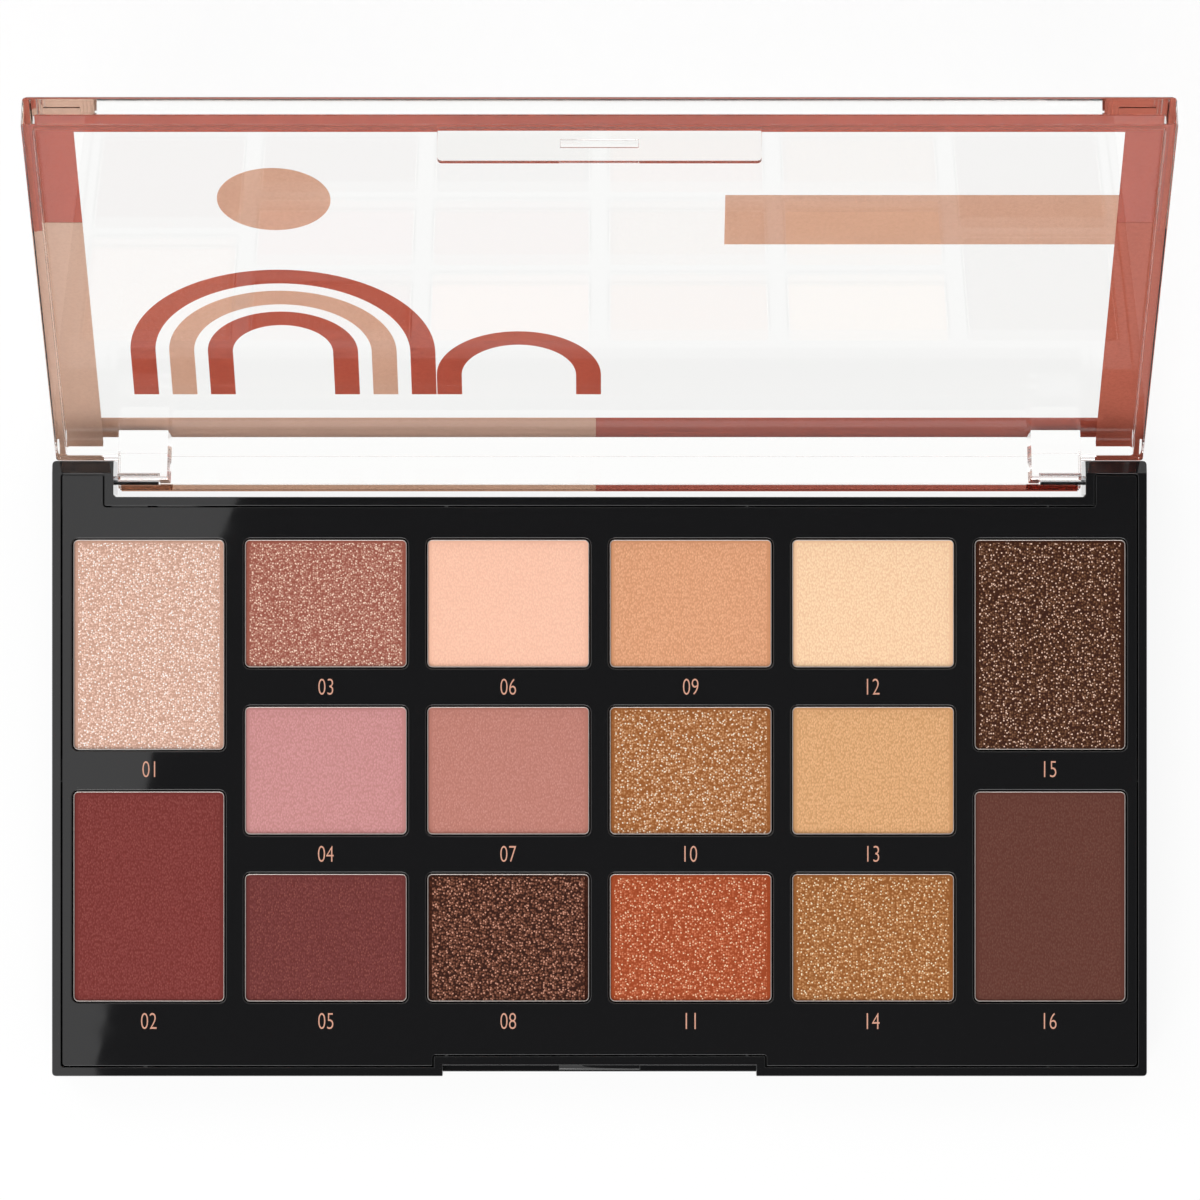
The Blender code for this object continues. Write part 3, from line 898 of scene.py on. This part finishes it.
@dataclass
class Lid:
    """The clear lid and its print, which lies on the outer face and colours the polished edges.

    For the edges, a second film lies just under the skin at the sides, with thin lines along the
    front edge and the front part of the side edges. It is a painted image of the print for the
    edges to show, in ink painted lighter than the print to make up for the dim light under the
    skin.

    The print is laid out on the shut lid as the hinge sees it: x to the right, y from the front at
    the lowest to the hinge at zero, z up to the outer face. It is then turned open with the lid.
    """

    node: Object
    joint: dict
    plastic: ClearStyrene
    terracotta: PrintColour
    tan: PrintColour
    edge: float = 0.08 * MM
    edge_segments: int = 3
    flat_inset: float = 0.5 * MM
    back_round: float = 3.0 * MM
    wrap: float = math.radians(30)
    sunk_wrap: float = math.radians(80)
    wrap_steps: int = 10
    line_width: float = 0.3 * MM
    line_gap: float = 0.02 * MM
    plate_end: float = 0.6 * MM
    plate_half: float = 65.8 * MM
    plate_line_span: Pair = (0.2 * MM, 2.0 * MM)
    sunk: float = 0.08 * MM
    lap: float = 0.15 * MM
    ink_gap: float = 0.006 * MM
    film: float = 0.02 * MM
    front_band: float = 6.55 * MM
    side_band: float = 6.45 * MM
    rear_band: float = 6.35 * MM
    left_change: float = 28.4 * MM
    rear_change: float = -0.5 * MM
    bar_span: Pair = (21.65 * MM, 33.65 * MM)
    bar_start: float = 16.6 * MM
    arch_stroke: float = 3.4 * MM
    arch_steps: int = 48
    dark_arches: tuple[Arch, ...] = (
        Arch(x=-43 * MM, y=-21 * MM, radius=19 * MM, leg=11 * MM),
        Arch(x=-43 * MM, y=-21 * MM, radius=8.5 * MM, leg=11 * MM),
        Arch(x=-11 * MM, y=-15 * MM, radius=9.5 * MM, leg=5 * MM),
    )
    light_arch: Arch = Arch(x=-43 * MM, y=-21 * MM, radius=13.75 * MM, leg=11 * MM)
    disc_middle: Pair = (-43 * MM, -59 * MM)
    disc_radius: float = 7.5 * MM

    def __post_init__(self) -> None:
        """Works out the lid's open pose, its extents when shut and the outlines of the bands."""
        hinge = Matrix.Translation(self.joint["pos_m"])
        self.open_pose = hinge @ Matrix.Rotation(math.radians(self.joint["range_deg"][0]), 4, "X")
        back = self.open_pose.inverted()
        points = [back @ v.co for v in self.node.data.vertices]
        self.low = Vector([min(p[i] for p in points) for i in range(3)])
        self.high = Vector([max(p[i] for p in points) for i in range(3)])
        self.side_x = self.high.x - self.side_band
        self.edge_x = self.high.x - self.flat_inset
        self.front_y = self.low.y + self.flat_inset
        self.change_y = self.low.y + self.left_change
        self.rear_y = self.high.y - self.rear_band
        self.end_y = self.high.y - self.back_round

    def build(self) -> None:
        """Builds the shell and each colour of its print."""
        shell = whole_copy(self.node)
        round_corners(shell, self.edge, self.edge_segments)
        clear = self.plastic.material()
        add_piece(shell, "lid_shell_clear", [clear], "lid", (self.node.name,))
        dark_side, light_side = self.side_film(1), self.side_film(-1)
        self.edge_lines(dark_side)
        # The lines in the end of the hinge plate are a painted image of the rear band
        dark_line = self.painted_band_image(self.rear_change, self.plate_half)
        light_line = self.painted_band_image(-self.plate_half, self.rear_change)
        for colour, face, side, line in (
            (self.terracotta, self.terracotta_film(), dark_side, dark_line),
            (self.tan, self.tan_film(), light_side, light_line),
        ):
            # The side film is the sunk copy: a painted image of the print for the edges, in ink
            # painted lighter
            self.thicken(side, self.high.z - self.sunk - self.film)
            layers = (
                ("face", face, colour.proud),
                ("side", side, colour.sunk),
                ("line", line, colour.tint),
            )
            for place, bm, ink in layers:
                add_piece(bm, f"lid_{place}_{colour.name}", [ink.material()], "lid", smooth=False)

    def side_film(self, side: int) -> BMesh:
        """Shapes the sunk painted copy of the print under the rear part of a side band.

        It laps the lines in front of it a little.

        Args:
            side: -1 for the left or 1 for the right.

        Returns:
            The flat print.
        """
        bm = bmesh.new()
        across = (side * self.side_x, side * self.edge_x)
        self.rectangle(bm, across, (self.change_y - self.lap, self.end_y))
        return bm

    def edge_lines(self, bm: BMesh) -> None:
        """Adds lines of the sunk painted copy along the front edge and the front of both side
        edges.

        Args:
            bm: the flat print that takes them.
        """
        edge = self.edge_x
        inner = edge - self.line_width
        reach = inner - self.line_gap
        self.rectangle(bm, (-reach, reach), (self.front_y, self.front_y + self.line_width))
        for across in ((-edge, -inner), (inner, edge)):
            self.rectangle(bm, across, (self.front_y, self.change_y))

    def painted_band_image(self, left: float, right: float) -> BMesh:
        """Shapes a clear tinted line in the end of the hinge plate: a painted image of the rear
        band.

        Args:
            left: where the line begins.
            right: where it ends.

        Returns:
            The line as a closed film in its place at rest.
        """
        bm = bmesh.new()
        self.rectangle(bm, (left, right), self.plate_line_span)
        return self.thicken(bm, self.sunk - self.plate_end)

    def terracotta_film(self) -> BMesh:
        """Shapes the darker print: the band from the front left round to the rear, and its arches.

        Returns:
            The print as closed films in their place at rest.
        """
        inner = self.low.y + self.front_band
        bm = bmesh.new()
        self.patch(
            bm,
            (-self.edge_x, self.front_y),
            (self.edge_x, self.front_y),
            (self.edge_x, self.end_y),
            (self.rear_change, self.end_y),
            (self.rear_change, self.rear_y),
            (self.side_x, self.rear_y),
            (self.side_x, inner),
            (-self.side_x, inner),
            (-self.side_x, self.change_y),
            (-self.edge_x, self.change_y),
        )
        for arch in self.dark_arches:
            self.draw_arch(bm, arch)
        return self.thicken(bm, self.high.z + self.ink_gap)

    def tan_film(self) -> BMesh:
        """Shapes the lighter print: the band at the rear left, the bar, an arch and the disc.

        Returns:
            The print as closed films in their place at rest.
        """
        bar_front, bar_back = (self.low.y + s for s in self.bar_span)
        bm = bmesh.new()
        self.patch(
            bm,
            (-self.edge_x, self.change_y),
            (-self.side_x, self.change_y),
            (-self.side_x, self.rear_y),
            (self.rear_change, self.rear_y),
            (self.rear_change, self.end_y),
            (-self.edge_x, self.end_y),
        )
        self.rectangle(bm, (self.bar_start, self.side_x), (bar_front, bar_back))
        self.draw_arch(bm, self.light_arch)
        bmesh.ops.create_circle(
            bm,
            cap_ends=True,
            segments=2 * self.arch_steps,
            radius=self.disc_radius,
            matrix=Matrix.Translation((*self.disc_middle, 0)),
        )
        return self.thicken(bm, self.high.z + self.ink_gap)

    @staticmethod
    def patch(bm: BMesh, *corners: Pair) -> None:
        """Adds a flat patch of print with these corners."""
        bm.faces.new([bm.verts.new((x, y, 0)) for x, y in corners])

    def rectangle(self, bm: BMesh, across: Pair, along: Pair) -> None:
        """Adds a flat rectangle of print between two values of x and two of y."""
        (x0, x1), (y0, y1) = across, along
        self.patch(bm, (x0, y0), (x1, y0), (x1, y1), (x0, y1))

    def draw_arch(self, bm: BMesh, arch: Arch) -> None:
        """Adds a flat arch of print with its feet towards the hinge.

        Args:
            bm: the bmesh that takes it.
            arch: its place and size, to the middle of its stroke.
        """
        half = self.arch_stroke / 2
        first = arch.x - arch.radius
        foot = [bm.verts.new((first + d, arch.y + arch.leg, 0)) for d in (-half, half)]
        strip = [*foot, bm.edges.new(foot)]
        turned = bmesh.ops.spin(
            bm,
            geom=self.drawn_on(bm, strip, -arch.leg),
            cent=(arch.x, arch.y, 0),
            axis=(0, 0, 1),
            angle=math.pi,
            steps=self.arch_steps,
        )
        self.drawn_on(bm, turned["geom_last"], arch.leg)

    @staticmethod
    def drawn_on(bm: BMesh, strip: list, length: float) -> list:
        """Draws the end of a strip of print straight on along Y.

        Args:
            bm: the bmesh that holds the strip.
            strip: the end's vertices and edge.
            length: how far it is drawn.

        Returns:
            The new end's vertices and edge.
        """
        edges = [e for e in strip if isinstance(e, BMEdge)]
        made = bmesh.ops.extrude_edge_only(bm, edges=edges)["geom"]
        verts = [v for v in made if isinstance(v, BMVert)]
        bmesh.ops.translate(bm, vec=(0, length, 0), verts=verts)
        return verts + [e for e in bm.edges if all(v in verts for v in e.verts)]

    def thicken(self, bm: BMesh, bottom: float) -> BMesh:
        """Gives flat print its thickness, wraps it round the lid's edges and turns it open.

        Args:
            bm: flat print in the plane of z = 0.
            bottom: the height of its lower face on the shut lid.

        Returns:
            The same bmesh as closed films in their place at rest.
        """
        bmesh.ops.remove_doubles(bm, verts=bm.verts, dist=MERGE)
        bmesh.ops.recalc_face_normals(bm, faces=bm.faces)
        bmesh.ops.translate(bm, vec=(0, 0, bottom), verts=bm.verts)
        grown = bmesh.ops.extrude_face_region(bm, geom=bm.faces[:], use_keep_orig=True)["geom"]
        upper = [v for v in grown if isinstance(v, BMVert)]
        bmesh.ops.translate(bm, vec=(0, 0, self.film), verts=upper)
        bmesh.ops.recalc_face_normals(bm, faces=bm.faces)
        self.wrap_edges(bm, self.wrap if bottom > self.high.z else self.sunk_wrap)
        bmesh.ops.recalc_face_normals(bm, faces=bm.faces)
        bmesh.ops.transform(bm, matrix=self.open_pose, verts=bm.verts)
        return bm

    def wrap_edges(self, bm: BMesh, wrap: float) -> None:
        """Draws film on round the rounded edges of the shut lid, where it reaches them.

        Args:
            bm: closed films, level on the shut lid.
            wrap: the angle that they are drawn on through.
        """
        edge, front, end = self.edge_x, self.front_y, self.end_y
        side_centre, back_centre = self.high.z - self.flat_inset, self.high.z - self.back_round
        turns = (
            (1, end, Vector((0, end, back_centre)), (1, 0, 0), -wrap),
            (1, front, Vector((0, front, side_centre)), (1, 0, 0), wrap),
            (0, edge, Vector((edge, 0, side_centre)), (0, 1, 0), wrap),
            (0, -edge, Vector((-edge, 0, side_centre)), (0, 1, 0), -wrap),
        )
        ends = [
            [f for f in bm.faces if all(abs(v.co[i] - at) < MERGE for v in f.verts)]
            for i, at, *_ in turns
        ]
        steps = self.wrap_steps
        for faces, (_, _, centre, axis, angle) in zip(ends, turns):
            if faces:
                bmesh.ops.spin(bm, geom=faces, cent=centre, axis=axis, angle=angle, steps=steps)


@dataclass(frozen=True)
class Lamp:
    """A square softbox that faces the palette."""

    name: str
    place: Vector
    size: float
    power: float


@dataclass
class Studio:
    """White paper in soft light from all round, a dark card overhead, and a camera above."""

    deck: float
    field: float = 164.4 * MM
    distance: float = 1165 * MM
    aim: Pair = (0.07 * MM, 23.08 * MM)
    sensor: float = 36.0
    ambient: float = 0.62
    paper: str = "FFFFFF"
    paper_size: float = 6.0
    paper_glow: float = 0.88
    card_radius: float = 0.56
    card_middle: Pair = (0.416, -0.16)
    card_gap: float = 70 * MM
    card_segments: int = 96
    card_colour: str = "0A0A0A"
    light_bounces: int = 64
    lamps: tuple[Lamp, ...] = (
        Lamp("front_softbox", place=Vector((-0.15, -1.05, 0.95)), size=1.0, power=14.0),
        Lamp("back_softbox", place=Vector((-0.75, 0.55, 0.95)), size=0.6, power=3.0),
    )

    def build(self) -> None:
        """Builds the world, the paper, the card, the lamps and the camera.

        Light goes to and fro many times in the clear lid before it leaves, so it may bounce often.
        """
        scene = bpy.context.scene
        scene.view_settings.view_transform = "Standard"
        scene.cycles.max_bounces = self.light_bounces
        scene.cycles.glossy_bounces = self.light_bounces
        scene.cycles.transmission_bounces = self.light_bounces
        self.build_world(scene)
        self.build_paper()
        self.build_card()
        for lamp in self.lamps:
            self.build_lamp(lamp)
        self.build_camera(scene)

    def build_world(self, scene: Scene) -> None:
        """Makes the soft surroundings: white where they are seen, a little less where they light.

        Args:
            scene: the scene that they surround.
        """
        world = bpy.data.worlds.new("soft white room")
        world.use_nodes = True
        tree = world.node_tree
        tree.nodes.clear()
        share = {"Value": self.seen(tree, 1.0), "To Min": self.ambient, "To Max": 1.0}
        strength = add_node(tree, "MapRange", share).outputs["Result"]
        room = add_node(tree, "Background", {"Color": linear(self.paper), "Strength": strength})
        add_node(tree, "OutputWorld", {"Surface": room.outputs[0]})
        scene.world = world

    @staticmethod
    def seen(tree: NodeTree, straight: float) -> NodeSocket:
        """Adds nodes that tell how much of its own white a thing shows.

        Args:
            tree: the node tree of a material or world.
            straight: the share where the camera sees it straight.

        Returns:
            That share, 1 where it is mirrored or seen through plastic, 0 where it only lights.
        """
        path = add_node(tree, "LightPath").outputs
        either = {0: path["Is Glossy Ray"], 1: path["Is Transmission Ray"]}
        far = add_node(tree, "Math", either, operation="MAXIMUM").outputs[0]
        toned = {0: path["Is Camera Ray"], 1: straight}
        near = add_node(tree, "Math", toned, operation="MULTIPLY").outputs[0]
        return add_node(tree, "Math", {0: near, 1: far}, operation="MAXIMUM").outputs[0]

    def build_paper(self) -> None:
        """Lays white paper that glows where it is seen, and still takes the palette's shadow."""
        bm = bmesh.new()
        bmesh.ops.create_grid(bm, x_segments=1, y_segments=1, size=self.paper_size / 2)
        material, tree = empty_material("white paper")
        matt = add_node(tree, "BsdfDiffuse", {"Color": linear(self.paper)})
        glow = add_node(tree, "Emission", {"Color": linear(self.paper), "Strength": 1.0})
        share = self.seen(tree, self.paper_glow)
        mix = add_node(tree, "MixShader", {0: share, 1: matt.outputs[0], 2: glow.outputs[0]})
        add_node(tree, "OutputMaterial", {"Surface": mix.outputs[0]})
        self.stage_piece(bm, "paper", material)

    def build_card(self) -> None:
        """Hangs a black card overhead that keeps the deck dark; the room shows past its left edge.

        It is there to be mirrored, so it doesn't show to the camera or through the clear plastic.
        """
        bm = bmesh.new()
        height = self.deck + self.distance + self.card_gap
        bmesh.ops.create_circle(
            bm,
            cap_ends=True,
            segments=self.card_segments,
            radius=self.card_radius,
            matrix=Matrix.Translation((*self.card_middle, height)),
        )
        material, tree = empty_material("black card")
        matt = add_node(tree, "BsdfDiffuse", {"Color": linear(self.card_colour)})
        add_node(tree, "OutputMaterial", {"Surface": matt.outputs[0]})
        card = self.stage_piece(bm, "black_card", material)
        card.visible_camera = False
        card.visible_transmission = False

    @staticmethod
    def stage_piece(bm: BMesh, name: str, material: Material) -> Object:
        """Adds a piece of the studio, which isn't part of the palette.

        Args:
            bm: its shape, in place.
            name: its name.
            material: its material.

        Returns:
            Its object.
        """
        mesh = bpy.data.meshes.new(name)
        bm.to_mesh(mesh)
        bm.free()
        mesh.materials.append(material)
        piece = bpy.data.objects.new(name, mesh)
        bpy.context.scene.collection.objects.link(piece)
        return piece

    @staticmethod
    def build_lamp(lamp: Lamp) -> None:
        """Sets a softbox in its place, aimed at the palette.

        Args:
            lamp: the softbox.
        """
        light = bpy.data.lights.new(lamp.name, "AREA")
        light.size = lamp.size
        light.energy = lamp.power
        holder = bpy.data.objects.new(lamp.name, light)
        holder.location = lamp.place
        holder.rotation_euler = (-lamp.place).to_track_quat("-Z", "Y").to_euler()
        bpy.context.scene.collection.objects.link(holder)

    def build_camera(self, scene: Scene) -> None:
        """Sets the camera straight above, so that the field at the deck fills the frame.

        Args:
            scene: the scene that it shows.
        """
        lens = bpy.data.cameras.new("camera")
        lens.sensor_width = self.sensor
        lens.lens = self.sensor * self.distance / self.field
        camera = bpy.data.objects.new("camera", lens)
        camera.location = (*self.aim, self.deck + self.distance)
        scene.collection.objects.link(camera)
        scene.camera = camera


def main() -> None:
    """Builds the palette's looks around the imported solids."""
    logging.basicConfig(level=logging.INFO, format="%(message)s")
    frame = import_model()
    nodes = frame["nodes"]
    Base(nodes, MouldedAbs()).build()
    upright_lines, level_lines = Vector((0.4, 0.4, 3.0)) * MM, Vector((3.0, 0.2, 0.2)) * MM
    aluminium = DrawnMetal("drawn aluminium", "BDB4AF", roughness=(0.28, 0.45), line=upright_lines)
    PanSet(aluminium).build()
    ShadeNumbers(ScreenInk("rose gold ink", "D9A38C", "CF9680", mottle=0.3 * MM, gloss=0.3)).build()
    steel = DrawnMetal("drawn steel", "C4C5C8", roughness=(0.12, 0.25), line=level_lines)
    HingePins(steel).build()
    # Each sunk ink is painted lighter than its print for the dim light under the skin, and each
    # clear tint paints the print's image in the end of the hinge plate
    clear = {"roughness": 0.0, "clear": 1.0, "ior": 1.0}
    terracotta = PrintColour(
        "terracotta",
        proud=ScreenInk("terracotta ink", "C05A46", "B85341"),
        sunk=ScreenInk("sunk terracotta ink", "D27560", "CA6E59"),
        tint=ScreenInk("clear terracotta ink", "9C5548", "944D41", **clear),
    )
    tan = PrintColour(
        "tan",
        proud=ScreenInk("tan ink", "E1B199", "DAAA92"),
        sunk=ScreenInk("sunk tan ink with painted light", "ECC5AF", "E6BEA8"),
        tint=ScreenInk("clear tan ink", "B8927C", "B08A75", **clear),
    )
    Lid(nodes["lid_shell"], frame["joints"][0], ClearStyrene(), terracotta, tan).build()
    Studio(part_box("tray_shell")[1].z).build()


if __name__ == "__main__":
    main()
